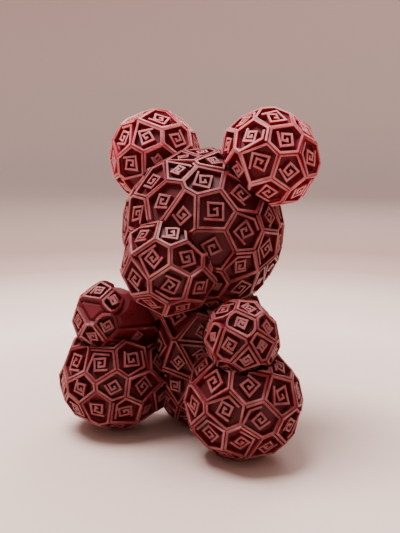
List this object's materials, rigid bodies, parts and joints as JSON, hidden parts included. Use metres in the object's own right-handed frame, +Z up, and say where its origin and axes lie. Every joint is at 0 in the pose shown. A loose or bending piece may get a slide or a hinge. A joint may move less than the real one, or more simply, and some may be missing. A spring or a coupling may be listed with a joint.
{
  "type": "seated bear art toy",
  "caption": "Seated toy bear of hollow faceted balls covered in spiral rose cells; the head turns a little and the arms turn on posts.",
  "frame": {"origin": "under the middle of the bear's outline, on the surface it sits on", "axes": "+Z up, the bear faces -Y, +X is the bear's left"},
  "size_m": [0.0964, 0.0708, 0.1197],
  "materials": {
    "body_vinyl": "satin",
    "ear_vinyl": "satin",
    "hard_plastic": "matte"
  },
  "bodies": {
    "torso": {"torso_shell": "body_vinyl", "leg_shell_left": "body_vinyl", "leg_shell_right": "body_vinyl", "hip_plug_left": "hard_plastic", "hip_plug_right": "hard_plastic"},
    "head": {"head_shell": "body_vinyl", "muzzle_shell": "body_vinyl", "ear_shell_left": "ear_vinyl", "ear_shell_right": "ear_vinyl", "ear_plug_left": "hard_plastic", "ear_plug_right": "hard_plastic", "muzzle_plug": "hard_plastic", "neck_post": "hard_plastic"},
    "arm_left": {"arm_shell_left": "body_vinyl", "shoulder_post_left": "hard_plastic"},
    "arm_right": {"arm_shell_right": "body_vinyl", "shoulder_post_right": "hard_plastic"}
  },
  "joints": [
    {"name": "neck_turn", "type": "hinge", "parent": "torso", "child": "head", "pos_m": [0, 0.00522, 0.046], "axis": [0, 0, 1], "range_deg": [-6, 6]},
    {"name": "shoulder_left", "type": "hinge", "parent": "torso", "child": "arm_left", "pos_m": [0.01614, -0.00436, 0.03873], "axis": [0.6255, -0.7397, 0.2482], "continuous": true},
    {"name": "shoulder_right", "type": "hinge", "parent": "torso", "child": "arm_right", "pos_m": [-0.01614, -0.00436, 0.03873], "axis": [-0.6255, -0.7397, 0.2482], "continuous": true}
  ]
}
